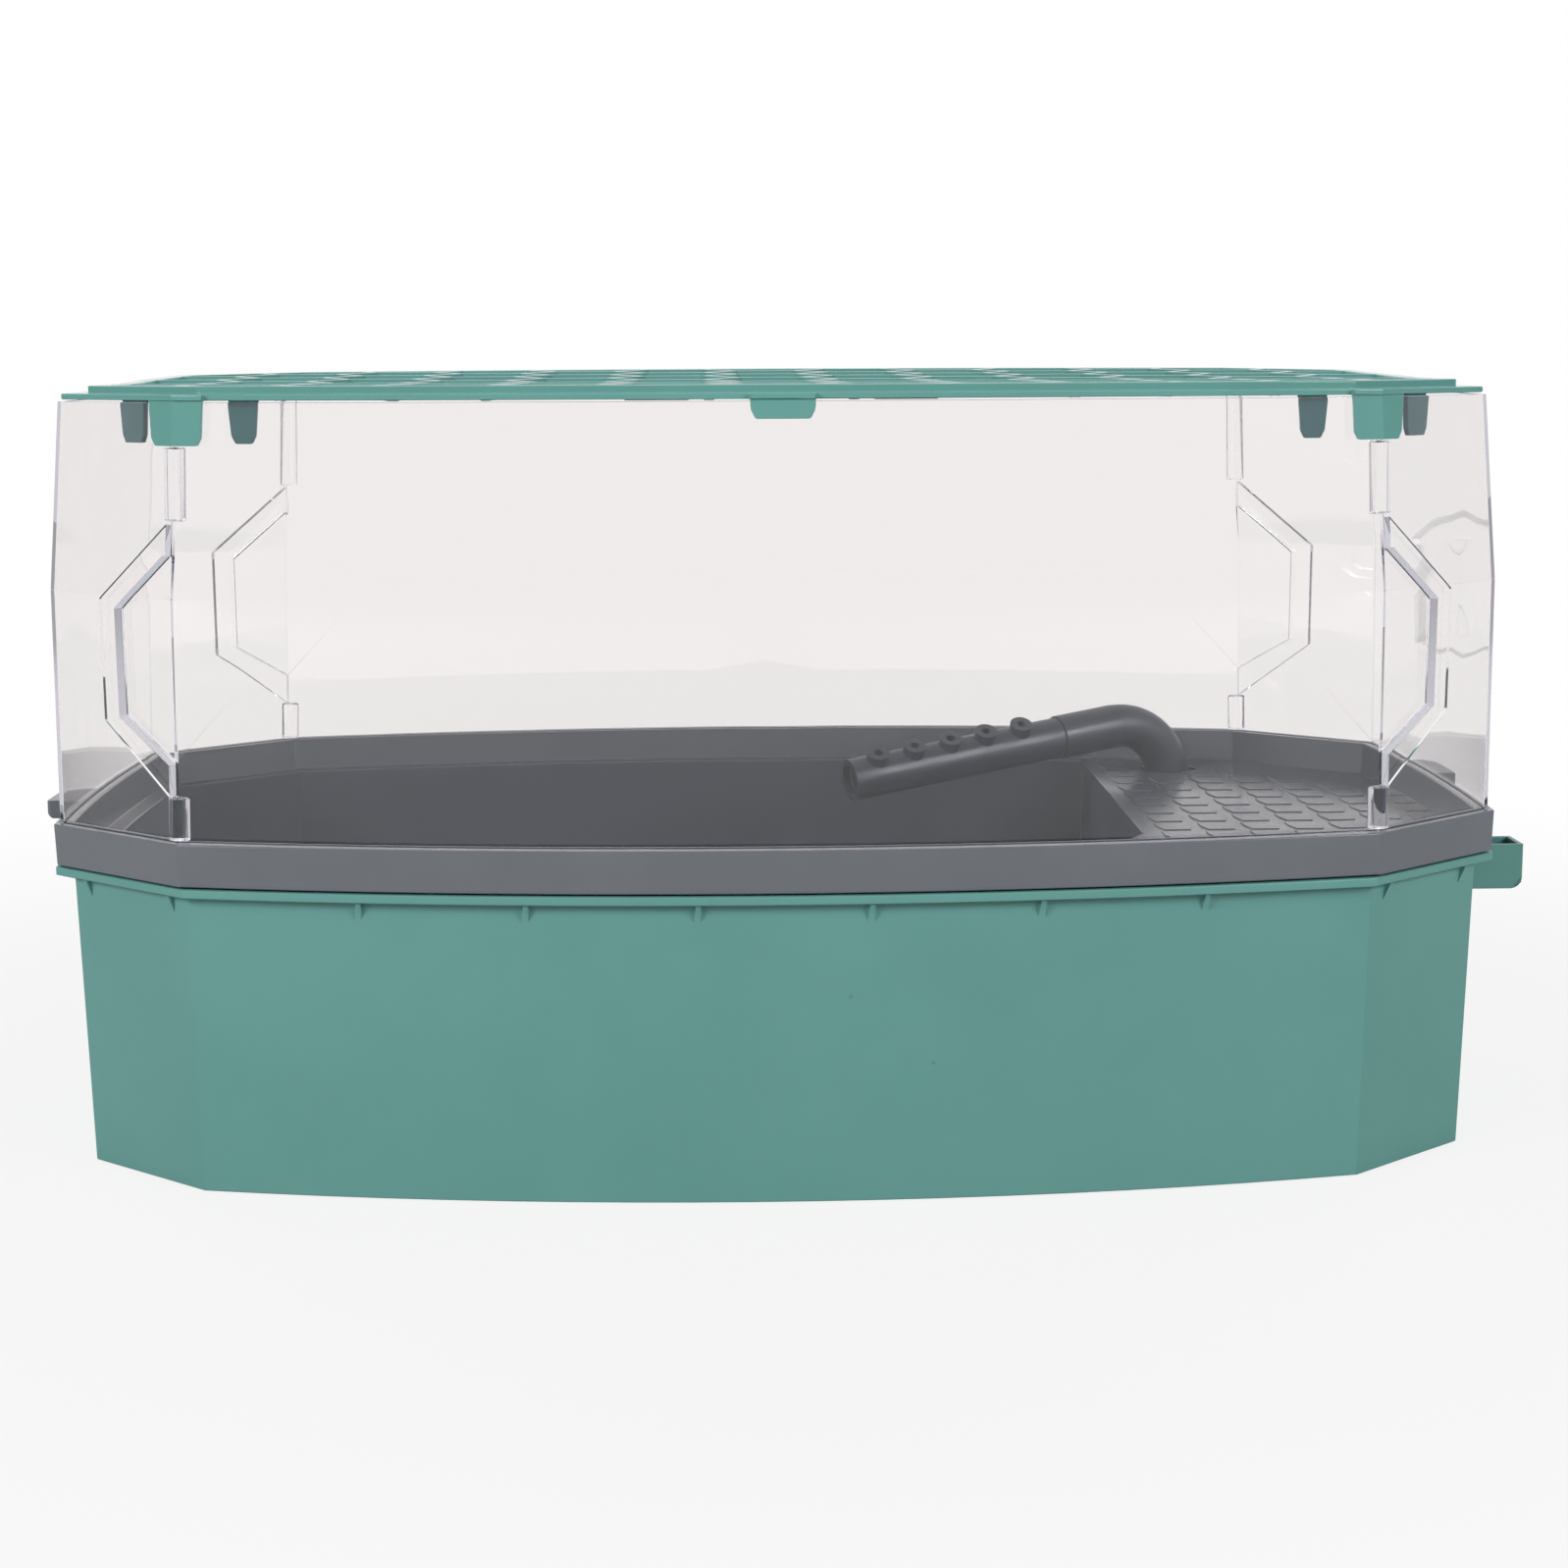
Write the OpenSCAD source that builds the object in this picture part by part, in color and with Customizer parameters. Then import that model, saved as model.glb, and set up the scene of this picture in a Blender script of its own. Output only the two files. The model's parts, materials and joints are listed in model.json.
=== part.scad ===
// Two-level turtle keeper: clear panels on a moulded tray, over a water base with a pump.
// X runs along the length, Y towards the back, Z up; the origin is the middle of the underside.

/* [Outline] */
// Half length of the tray rim over the end arcs
end_reach = 253.5; // [252.5:0.1:254.5]
// Half depth of the tray rim over the long side arcs
side_reach = 148.3; // [147.8:0.1:148.8]
// Distance of the four corner faces from the middle
corner_reach = 225.8; // [225.3:0.1:226.3]

/* [Heights] */
// Top of the base wall, under its lip
base_h = 101.7; // [101.2:0.1:101.8]
// Top of the tray rim
rim_z = 119.6; // [119.4:0.1:119.8]
// Top of the ledge and the basking shelf
shelf_z = 107.3; // [107.2:0.1:107.5]
// Floor of the swimming basin
basin_floor_z = 40.5; // [40.3:0.1:40.6]
// Top edge of the clear panels
panel_top_z = 263.5; // [262.8:0.1:263.6]

/* [Walls] */
// Moulded wall of the base and the tray
wall = 2.5; // [2.3:0.1:2.6]
// Floor of the base
base_floor = 3; // [2.6:0.1:3.4]
// Clear panel thickness
panel_t = 2; // [1.8:0.1:2.2]

/* [Lid] */
// Distance between two opposite flats of the cells, rib centre to rib centre
cell_flat = 42.1; // [41.6:0.1:42.6]
// Width of the lid ribs
rib_w = 2.6; // [2.2:0.1:3.2]
// Height of the lid ribs
rib_h = 4.8; // [4.4:0.1:5.2]

/* [Water] */
// Outer diameter of the outlet elbow
elbow_d = 17.4; // [17.2:0.1:17.8]
// Outer diameter of the spray bar
bar_d = 16.4; // [16.2:0.1:16.8]
// Length of the spray bar outside the elbow
bar_len = 93.9; // [92:0.1:96]
// Number of spray nozzles
nozzle_count = 5; // [2:1:5]
// Diameter of the filter basket
basket_d = 64; // [63:0.5:65]

/* [Hidden] */
eps = 0.05;
arc_fn = 256;
tube_fn = 64;
corner_a = 49.6;
side_centre = 783.7;
end_centre = 749.1;

// An outline is [end reach, side reach, corner reach]
rim = [end_reach, side_reach, corner_reach];
function grow(o, d) = [o[0] + d, o[1] + d, o[2] + d];
function mix(a, b, k) = [for (i = [0:2]) a[i] + (b[i] - a[i]) * k];
base_foot = rim + [-9.5, -5.2, -6];
base_top = rim + [-6.7, -2.8, -3.3];
base_lip = rim + [0, 0.7, 0];
skirt_foot = grow(rim, -0.5);
panel_foot = rim + [-1.8, -4.9, -3.4];
panel_knee = rim + [-2.5, -3.6, -2.9];
panel_head = rim + [-7.6, -6.1, -7.1];
lip_top = rim + [-7, -9.4, -8.4];
lip_foot = rim + [-8.5, -10.9, -9.9];
basin_top = rim + [-15.5, -18, -16.8];
lid_edge = rim + [-9.1, -5.3, -7.1];

// Underside of the panels in the rim groove, and the height where the walls change their lean
foot_z = rim_z - 1.6;
knee_z = 200;
lean_z = 120;
function low_wall(z) = mix(panel_foot, panel_knee, (z - foot_z) / (knee_z - foot_z));
function high_wall(z) = mix(panel_knee, panel_head, (z - knee_z) / (panel_top_z - knee_z));

// Seam between a long panel and an end panel, at the positive corner
seam = [200.5, 121.4];
seam_lean = 1.54;
seam_a = -26.4;
seam_gap = 0.1;
flute_r = 3.5;
ridge_t = 2.8;
tab_reach = -97.5;
ridge_reach = -105.7;

// Pump and riser places
riser = [166.5, 97];
riser_d = 13.5;
heading = 201.85;
bend_r = 24.4;
bend_a = 96.85;
bend_z0 = 102.2;
straight_len = 25.5;
spigot_len = 12;
pump_z = 27;
drain = [-130, -68];

// ---------- shared shapes ----------

module plan(o) {
    intersection() {
        translate([0, -side_centre]) circle(o[1] + side_centre, $fn = arc_fn * 2);
        translate([0, side_centre]) circle(o[1] + side_centre, $fn = arc_fn * 2);
        translate([-end_centre, 0]) circle(o[0] + end_centre, $fn = arc_fn * 2);
        translate([end_centre, 0]) circle(o[0] + end_centre, $fn = arc_fn * 2);
        rotate(corner_a) square([2 * o[2], 1400], center = true);
        rotate(-corner_a) square([2 * o[2], 1400], center = true);
    }
}

module slab(z0, z1, o) {
    translate([0, 0, z0]) linear_extrude(z1 - z0) plan(o);
}

module drafted_disc(x, y, z0, z1, r0, r1) {
    translate([x, y, z0]) cylinder(h = z1 - z0, r1 = r0, r2 = r1, $fn = arc_fn * 2);
}

module drafted_band(a, z0, z1, d0, d1) {
    rotate([0, 0, a])
        rotate([90, 0, 0])
            linear_extrude(1400, center = true)
                polygon([[-d0, z0], [d0, z0], [d1, z1], [-d1, z1]]);
}

module tub(z0, z1, a, b) {
    intersection() {
        drafted_disc(0, -side_centre, z0, z1, a[1] + side_centre, b[1] + side_centre);
        drafted_disc(0, side_centre, z0, z1, a[1] + side_centre, b[1] + side_centre);
        drafted_disc(-end_centre, 0, z0, z1, a[0] + end_centre, b[0] + end_centre);
        drafted_disc(end_centre, 0, z0, z1, a[0] + end_centre, b[0] + end_centre);
        drafted_band(corner_a, z0, z1, a[2], b[2]);
        drafted_band(-corner_a, z0, z1, a[2], b[2]);
    }
}

module block(lo, hi) {
    translate(lo) cube(hi - lo);
}

module rounded_plate(w, d, h, r) {
    translate([-w / 2 + r, -d / 2, 0]) cube([w - 2 * r, d, h]);
    translate([-w / 2, -d / 2 + r, 0]) cube([w, d - 2 * r, h]);
    for (sx = [-1, 1]) {
        for (sy = [-1, 1]) {
            translate([sx * (w / 2 - r), sy * (d / 2 - r), 0]) cylinder(r = r, h = h, $fn = 32);
        }
    }
}

// Extrudes a side profile of (y, z) points along X
module along_x(x0, x1) {
    translate([x0, 0, 0]) rotate([90, 0, 90]) linear_extrude(x1 - x0) children();
}

// Extrudes a profile of (x, z) points along Y
module along_y(y0, y1) {
    translate([0, y1, 0]) rotate([90, 0, 0]) linear_extrude(y1 - y0) children();
}

// Extrudes a profile of (along, z) points through a corner face
module through_corner(n0, n1) {
    rotate([0, 0, corner_a])
        translate([n0, 0, 0])
            rotate([90, 0, 90])
                linear_extrude(n1 - n0)
                    children();
}

module flip(sx, sy) {
    mirror([sx < 0 ? 1 : 0, 0, 0]) mirror([0, sy < 0 ? 1 : 0, 0]) children();
}

module four_corners() {
    for (sx = [-1, 1]) {
        for (sy = [-1, 1]) {
            flip(sx, sy) children();
        }
    }
}

// ---------- base ----------

spout_y0 = -66;
spout_y1 = -49.5;
spout_x = 266.3;
spout_z0 = 87.8;
spout_z1 = 104;
spout_wall = 1.8;
spout_r = 4.3;
gusset_t = 2;
gusset_h = 7.2;

module spout_section(g, top) {
    translate([240, spout_z0 + spout_r]) square([spout_x - g - 240, top - spout_z0 - spout_r]);
    translate([240, spout_z0 + g]) square([spout_x - spout_r - 240, spout_r + 1]);
    translate([spout_x - spout_r, spout_z0 + spout_r]) circle(spout_r - g, $fn = 48);
}

module gusset_plates() {
    for (x = [28.3, 84.5, 139.6]) {
        for (s = [-1, 1]) {
            block([s * x - gusset_t / 2, -200, base_h - gusset_h], [s * x + gusset_t / 2, 200, base_h + 1]);
        }
    }
    four_corners()
        rotate([0, 0, corner_a])
            for (s = [-121.7, -77.8]) {
                block([180, s - gusset_t / 2, base_h - gusset_h], [260, s + gusset_t / 2, base_h + 1]);
            }
}

module base_bin() {
    color("#74a5a1")
    difference() {
        union() {
            tub(0, base_h, base_foot, base_top);
            slab(base_h - eps, base_h + 2.9, base_lip);
            intersection() {
                tub(base_h - gusset_h, base_h, grow(base_top, -0.5), grow(base_lip, -0.8));
                gusset_plates();
            }
            along_y(spout_y0, spout_y1) spout_section(0, spout_z1);
        }
        tub(base_floor, base_h + 4, grow(base_foot, -wall), grow(base_top, -wall));
        along_y(spout_y0 + spout_wall, spout_y1 - spout_wall)
            spout_section(spout_wall, spout_z1 + 2);
    }
}

// ---------- tray ----------

divider_a = -0.81;
divider_d = 132.2;
diagonal_a = -31;
diagonal_d = 139.8;
lug_x0 = 251.3;
lug_z0 = 110.3;
lug_z1 = 117;
riser_hole_d = 22.5;
skirt_z = 105.2;
tread_pitch_x = 16.1;
tread_pitch_y = 17.6;

// Plan of the basin, cut off by the divider and by the slanted corner
module basin_plan(g) {
    difference() {
        plan(grow(basin_top, g));
        rotate(divider_a) translate([divider_d + g, -350]) square([300, 700]);
        rotate(diagonal_a) translate([diagonal_d + g, -350]) square([300, 700]);
    }
}

module basin(g, z0, z1) {
    translate([0, 0, z0]) linear_extrude(z1 - z0) basin_plan(g);
}

module tread_outline() {
    polygon([[-6.5, 8], [-4.8, 0], [4.8, 0], [6.5, 8], [6.5, 14], [-6.5, 14]]);
}

// Raised scales on the shelf, highest at their front edge
module tread() {
    for (row = [0:11]) {
        y0 = -83 + row * tread_pitch_y;
        intersection() {
            for (col = [0:6]) {
                x = 145 + col * tread_pitch_x;
                clear = norm([x, y0 + 5] - riser) > 19;
                if (clear && 0.648 * (x + 7) + 0.761 * abs(y0 + 7) < 197 && x - y0 / 2.2 < 300) {
                    translate([x, y0, shelf_z - 1]) linear_extrude(3) tread_outline();
                }
            }
            along_x(130, 250)
                polygon([
                    [y0 - 1, shelf_z - 1],
                    [y0 - 1, shelf_z + 1.07],
                    [y0 + 14.5, shelf_z + 0.1],
                    [y0 + 14.5, shelf_z - 1]
                ]);
        }
    }
}

module lug(y0, y1, x1) {
    difference() {
        block([lug_x0, y0, lug_z0], [x1, y1, lug_z1]);
        block([lug_x0 + 3, y0 + 2, lug_z0 - 1], [x1 - 2, y1 - 2, lug_z1 - 2]);
        translate([x1, 0, lug_z0])
            rotate([0, 45, 0])
                cube([2.4, 400, 2.4], center = true);
        translate([x1, y1, 0]) rotate([0, 0, 45]) cube([5, 5, 400], center = true);
        translate([x1, y0, 0]) rotate([0, 0, 45]) cube([1.4, 1.4, 400], center = true);
    }
}

module rim_ring() {
    difference() {
        tub(skirt_z, rim_z, skirt_foot, rim);
        tub(shelf_z, rim_z + eps, lip_foot, lip_top);
        slab(skirt_z - 1, shelf_z + 1, grow(lip_foot, -0.3));
        difference() {
            slab(rim_z - 2, rim_z + 1, grow(panel_foot, 0.3));
            slab(rim_z - 3, rim_z + 2, grow(panel_foot, -panel_t - 0.4));
        }
        difference() {
            slab(skirt_z - 1, rim_z - 4, grow(rim, -2.3));
            slab(skirt_z - 2, rim_z, grow(lip_foot, 2.2));
        }
    }
}

module tray() {
    color("#85888b")
    difference() {
        union() {
            rim_ring();
            slab(shelf_z - 2.4, shelf_z, grow(lip_foot, 1.2));
            basin(wall, basin_floor_z - wall, shelf_z - 1);
            tread();
            flip(-1, 1) lug(-19, 12, 268);
            lug(18, 52, 266.2);
        }
        basin(0, basin_floor_z, shelf_z + 3);
        translate([riser[0], riser[1], 90]) cylinder(d = riser_hole_d, h = 30, $fn = tube_fn);
        translate([drain[0], drain[1], 30]) cylinder(d = basket_d + 2, h = 20, $fn = tube_fn);
    }
}

// ---------- climbing ramp ----------

ramp_y = -76;
ramp_run = 106;
ramp_t = 2.5;
ramp_gap = 0.8;
rung_step = 12.2;

// Loose ramp from the basin floor up to the shelf, along the front wall
module climbing_ramp() {
    low = basin_floor_z + 0.3;
    high = shelf_z - 0.6;
    top_n = diagonal_d - ramp_gap;
    slope = atan((high - low) / ramp_run);
    color("#85888b")
    intersection() {
        union() {
            rotate([0, 0, diagonal_a])
                rotate([90, 0, 0])
                    linear_extrude(500, center = true)
                        polygon([
                            [top_n - ramp_run, low],
                            [top_n - ramp_run + ramp_t * 1.6, low],
                            [top_n, high - ramp_t * 1.2],
                            [top_n, high],
                            [top_n - 2, high]
                        ]);
            rotate([0, 0, diagonal_a])
                translate([top_n - 4, 0, high - 2.1])
                    rotate([0, -slope, 0])
                        for (k = [1:8]) {
                            translate([-rung_step * k, 0, 0.3]) cube([2.4, 500, 3], center = true);
                        }
            difference() {
                block([-10, ramp_y - ramp_t, low], [119, ramp_y, high]);
                rotate([0, 0, diagonal_a])
                    rotate([90, 0, 0])
                        linear_extrude(500, center = true)
                            polygon([
                                [top_n - ramp_run - 200, low - 10],
                                [top_n - ramp_run + 1, low - 10],
                                [top_n - ramp_run + 1, low],
                                [top_n - 1, high - 1],
                                [top_n - 1, high + 20],
                                [top_n - ramp_run - 200, high + 20]
                            ]);
                rotate([0, 0, diagonal_a]) block([top_n, -400, 0], [top_n + 90, 400, 200]);
            }
        }
        slab(low, high + 3, grow(basin_top, -1));
        block([-80, -150, low], [200, ramp_y, high + 3]);
    }
}

// ---------- clear panels ----------

// The walls lean out up to the knee and in above it
module panel_solid(g, past) {
    z0 = foot_z - past;
    z1 = panel_top_z + past;
    intersection() {
        tub(z0, z1, grow(low_wall(z0), g), grow(low_wall(z1), g));
        tub(z0, z1, grow(high_wall(z0), g), grow(high_wall(z1), g));
    }
}

module panel_ring() {
    difference() {
        panel_solid(0, 0);
        panel_solid(-panel_t, 1);
    }
}

module at_seam() {
    translate([seam[0], seam[1], lean_z]) rotate([0, -seam_lean, 0]) rotate([0, 0, seam_a]) children();
}

module end_side(gap) {
    at_seam() translate([gap, -200, -20]) cube([160, 240, 190]);
}

module long_side(gap) {
    at_seam() translate([-130 - gap, -30, -20]) cube([130, 60, 190]);
}

// Round beads along the seam; the upper one stops under the lid's clip at the front corners
module flutes(sy) {
    at_seam()
        translate([-0.5, -0.9, 0])
            for (z = [[0.4, 14.4], [105.7, sy < 0 ? 129 : 142]]) {
                translate([0, 0, z[0]]) cylinder(r = flute_r, h = z[1] - z[0], $fn = 48);
            }
}

// Half hexagon tab that folds round the corner from a long panel
module tab_shape(g) {
    polygon([
        [-66, 214 + g], [-73, 214 + g], [tab_reach - g, 196 + g * 0.6],
        [tab_reach - g, 160 - g * 0.6], [-73, 146 - g], [-66, 146 - g]
    ]);
}

module ridge_shape() {
    polygon([[-60, 233.1], [ridge_reach, 199], [ridge_reach, 158], [-60, 125]]);
}

module long_panel(s) {
    difference() {
        panel_ring();
        block([-300, s < 0 ? -60 : -200, 100], [300, s < 0 ? 200 : 60, 280]);
        for (sx = [-1, 1]) {
            flip(sx, s)
                difference() {
                    end_side(-seam_gap);
                    through_corner(205, 235) tab_shape(0);
                }
        }
    }
    for (sx = [-1, 1]) {
        flip(sx, s)
            intersection() {
                flutes(s);
                long_side(seam_gap);
            }
    }
}

module end_panel(s) {
    flip(s, 1) {
        difference() {
            intersection() {
                panel_ring();
                block([170, -200, 100], [300, 200, 280]);
            }
            for (sy = [-1, 1]) {
                flip(1, sy) {
                    long_side(-seam_gap);
                    through_corner(200, 240) tab_shape(0.25);
                }
            }
        }
        for (sy = [-1, 1]) {
            flip(1, sy) {
                intersection() {
                    difference() {
                        panel_solid(ridge_t, 0);
                        panel_solid(-1, 1);
                        through_corner(190, 250) tab_shape(0.25);
                    }
                    through_corner(200, 240) ridge_shape();
                    end_side(seam_gap);
                }
                intersection() {
                    flutes(sy);
                    end_side(seam_gap);
                }
            }
        }
    }
}

module front_panel() {
    color("#dfe6e6") long_panel(-1);
}

module back_panel() {
    color("#dfe6e6") long_panel(1);
}

module left_end_panel() {
    color("#dfe6e6") end_panel(-1);
}

module right_end_panel() {
    color("#dfe6e6") end_panel(1);
}

// ---------- lid ----------

lid_z = panel_top_z + 0.6;
flange_t = 2;
step_in = 8.4;
band_w = 6.5;
clip_t = 2.2;
clip_gap = 0.4;

module lid_section(low, high) {
    polygon([
        [-200, lid_z + 4.5 + low], [-20, lid_z + 4.5 + low], [60, lid_z + 6.3 + low], [200, lid_z + 9.4 + low],
        [200, lid_z + 9.4 + high], [60, lid_z + 6.3 + high], [-20, lid_z + 4.5 + high], [-200, lid_z + 4.5 + high]
    ]);
}

module cells() {
    side = cell_flat / sqrt(3);
    for (i = [-6:6]) {
        for (j = [-4:4]) {
            x = i * side * 1.5;
            y = j * cell_flat + (i % 2 == 0 ? 0 : cell_flat / 2);
            if (abs(y) < 150) {
                translate([x, y]) circle((cell_flat - rib_w) / sqrt(3), $fn = 6);
            }
        }
    }
}

// Thin wall hanging from the lid, following the panels
// Wall that hangs outside the panels, parallel to them
module outer_wall(z0) {
    top = lid_z + eps;
    difference() {
        tub(z0, top, grow(high_wall(z0), clip_gap + clip_t), grow(high_wall(top), clip_gap + clip_t));
        tub(z0 - eps, top + eps, grow(high_wall(z0), clip_gap), grow(high_wall(top), clip_gap));
    }
}

// Upright wall that hangs just inside the panels
module inner_wall(z0) {
    difference() {
        slab(z0, lid_z + eps, grow(panel_head, -panel_t - clip_gap));
        slab(z0 - 1, lid_z + 1, grow(panel_head, -panel_t - clip_gap - clip_t));
    }
}

// Clip outline [start, end] with eased lower corners
module hanging_shape(span, z0, taper) {
    polygon([
        [span[0], 280],
        [span[0], lid_z - 2],
        [span[0] + taper, z0 + 2.6],
        [span[0] + taper + 1.8, z0 - 1],
        [span[1] - taper - 1.8, z0 - 1],
        [span[1] - taper, z0 + 2.6],
        [span[1], lid_z - 2],
        [span[1], 280]
    ]);
}

module front_span(span, z0, taper) {
    rotate([90, 0, 0])
        translate([0, 0, 90])
            linear_extrude(70) hanging_shape(span, z0, taper);
}

module front_corners() {
    for (sx = [-1, 1]) {
        flip(sx, 1) children();
    }
}

// The flange grows out over the clips to carry them
module flange_pad() {
    difference() {
        slab(lid_z, lid_z + flange_t, grow(panel_head, clip_gap + clip_t + 0.3));
        slab(lid_z - 1, lid_z + 10, grow(panel_head, -3));
    }
}

module lid_grille() {
    inner = grow(lid_edge, -step_in - band_w);
    color("#74a5a1") {
        difference() {
            slab(lid_z, lid_z + flange_t, lid_edge);
            slab(lid_z - 1, lid_z + 10, grow(inner, 1));
        }
        intersection() {
            difference() {
                slab(lid_z, lid_z + 12, grow(lid_edge, -step_in));
                slab(lid_z - 1, lid_z + 13, inner);
            }
            along_x(-260, 260) lid_section(-30, 0);
        }
        intersection() {
            translate([0, 0, lid_z - 5])
                linear_extrude(20)
                    difference() {
                        plan(grow(inner, 0.5));
                        cells();
                    }
            along_x(-260, 260) lid_section(-rib_h, 0);
        }
        intersection() {
            outer_wall(249.7);
            front_corners() front_span([186, 205], 249.7, 0.6);
        }
        intersection() {
            outer_wall(257.9);
            front_span([-10.4, 10.4], 257.9, 0.3);
        }
        intersection() {
            inner_wall(250.2);
            union() {
                front_corners() front_span([168.3, 178.2], 250.2, 0.8);
                front_corners() flip(1, -1) through_corner(190, 240) hanging_shape([-101, -88.5], 250.2, 0.8);
            }
        }
        intersection() {
            flange_pad();
            union() {
                front_corners() front_span([186, 205], 240, 0);
                front_span([-10.4, 10.4], 240, 0);
            }
        }
    }
}

// ---------- outlet pipe ----------

// Frame whose X is the pipe heading and whose origin is where the bend starts
module pipe_frame() {
    translate([riser[0], riser[1], bend_z0]) rotate([0, 0, heading]) children();
}

module bend(d) {
    translate([bend_r, 0, 0])
        rotate([90, 0, 0])
            rotate([0, 0, 180 - bend_a])
                rotate_extrude(angle = bend_a, $fn = 96)
                    translate([bend_r, 0])
                        circle(d = d, $fn = 48);
}

// Frame at the end of the bend, with Z along the pipe
module bend_end() {
    translate([bend_r * (1 - cos(bend_a)), 0, bend_r * sin(bend_a)]) rotate([0, bend_a, 0]) children();
}

stub_z0 = 84;
stub_bore = riser_d + 0.2;
flow_d = 11.4;
spigot_d = 13.4;

module elbow() {
    hub_d = elbow_d + 0.3;
    hub_bore = flow_d - 0.4;
    join = 0.4;
    socket_z = straight_len - spigot_len - 0.4;
    color("#5e6a6e")
    pipe_frame() {
        difference() {
            bend(elbow_d);
            bend(flow_d);
        }
        difference() {
            translate([0, 0, stub_z0 - bend_z0]) cylinder(d = hub_d, h = bend_z0 - stub_z0 + join, $fn = tube_fn);
            translate([0, 0, stub_z0 - bend_z0 - 1]) cylinder(d = stub_bore, h = 18, $fn = tube_fn);
            translate([0, 0, -2]) cylinder(d = hub_bore, h = 4, $fn = tube_fn);
        }
        bend_end()
            difference() {
                translate([0, 0, -join]) cylinder(d = hub_d, h = straight_len + join, $fn = tube_fn);
                translate([0, 0, -1]) cylinder(d = hub_bore, h = straight_len + 2, $fn = tube_fn);
                translate([0, 0, socket_z]) cylinder(d = spigot_d + 0.2, h = spigot_len + 2, $fn = tube_fn);
            }
    }
}

nozzle_d = 9;
nozzle_bore = 3.5;
nozzle_step = 16;
nozzle_first = 11.3;
nozzle_a = 151;
plug_recess = 3;

module bar_frame() {
    pipe_frame() bend_end() translate([0, 0, straight_len]) children();
}

module at_nozzles() {
    for (i = [0:nozzle_count - 1]) {
        rotate([0, 0, nozzle_a])
            translate([0, 0, bar_len - nozzle_first - i * nozzle_step])
                rotate([0, 90, 0])
                    children();
    }
}

module spray_bar() {
    color("#5e6a6e")
    bar_frame()
    difference() {
        union() {
            translate([0, 0, 0.3]) cylinder(d = bar_d, h = bar_len - 0.3, $fn = tube_fn);
            translate([0, 0, -spigot_len]) cylinder(d = spigot_d, h = spigot_len + 1, $fn = tube_fn);
            at_nozzles() cylinder(d = nozzle_d, h = bar_d / 2 + 3, $fn = 32);
        }
        translate([0, 0, -spigot_len - 1]) cylinder(d = flow_d, h = spigot_len + 2, $fn = tube_fn);
        cylinder(d = bar_d - 4, h = bar_len + 1, $fn = tube_fn);
        at_nozzles() cylinder(d = nozzle_bore, h = bar_d, $fn = 24);
    }
}

module bar_end_plug() {
    color("#3b4347")
    bar_frame()
    translate([0, 0, bar_len - plug_recess - 4])
    difference() {
        cylinder(d = bar_d - 4, h = 4, $fn = tube_fn);
        translate([0, 0, 1.5]) cylinder(d = bar_d - 8, h = 4, $fn = tube_fn);
    }
}

riser_top_z = 100.6;
riser_foot_z = 48;

module riser_tube() {
    color("#5e6a6e")
    translate([riser[0], riser[1], riser_foot_z])
    difference() {
        cylinder(d = riser_d, h = riser_top_z - riser_foot_z, $fn = tube_fn);
        translate([0, 0, -1]) cylinder(d = riser_d - 3, h = 80, $fn = tube_fn);
    }
}

// ---------- pump ----------

px = riser[0];
motor_y0 = 34;
motor_y1 = 86;
motor_w = 42;
motor_z0 = 7;
motor_z1 = 47;
skin = 2;
well_d = 20;
well_bore = 16.4;
chamber_d = 40;
chamber_y1 = 108;
shaft_d = 2.4;
magnet_d = 15;
core_t = 5.5;
core_w = 35;
well_y0 = 54;

// Cylinder along Y on the rotor axis
module rod_y(d, y0, y1) {
    translate([px, y1, pump_z]) rotate([90, 0, 0]) cylinder(d = d, h = y1 - y0, $fn = 48);
}

module pump_housing() {
    mid = (motor_y0 + motor_y1) / 2;
    color("#2f3437")
    difference() {
        union() {
            difference() {
                translate([px, mid, motor_z0])
                    rounded_plate(motor_w, motor_y1 - motor_y0, motor_z1 - motor_z0, 6);
                block(
                    [px - core_w / 2, motor_y0 + 3, motor_z0 + skin],
                    [px + core_w / 2, motor_y1 - skin, motor_z1 - skin]
                );
            }
            rod_y(well_d, well_y0, motor_y1);
            rod_y(chamber_d, motor_y1 - eps, chamber_y1);
            translate([px, riser[1], pump_z]) cylinder(d = riser_d + 4, h = 33, $fn = tube_fn);
        }
        rod_y(7, well_y0 + 1, well_y0 + 4);
        rod_y(well_bore, well_y0 + 3, motor_y1 + 2);
        rod_y(chamber_d - 4, motor_y1 + 1.5, chamber_y1 + 1);
        translate([px, riser[1], pump_z]) cylinder(d = riser_d - 3, h = 40, $fn = tube_fn);
        translate([px, riser[1], riser_foot_z]) cylinder(d = riser_d, h = 40, $fn = tube_fn);
        rod_y(10, motor_y0 - 1, motor_y0 + 4);
    }
}

module stator_core() {
    color("#6f7377")
    difference() {
        block([px - core_w / 2, 42, pump_z - 8], [px + core_w / 2, 83.5, pump_z + 8]);
        block([px - core_w / 2 + core_t, 42 + core_t, pump_z - 9], [px + core_w / 2 - core_t, 84, pump_z + 9]);
    }
}

module coil() {
    color("#9c5a32")
    difference() {
        translate([px, 46, pump_z - 12]) rounded_plate(19, 14, 24, 3);
        block([px - 20, 42, pump_z - 8], [px + 20, 42 + core_t, pump_z + 8]);
    }
}

module rotor_magnet() {
    color("#3a3a3c")
    difference() {
        rod_y(magnet_d, 60, 84);
        rod_y(shaft_d + 0.1, 59, 85);
    }
}

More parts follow.
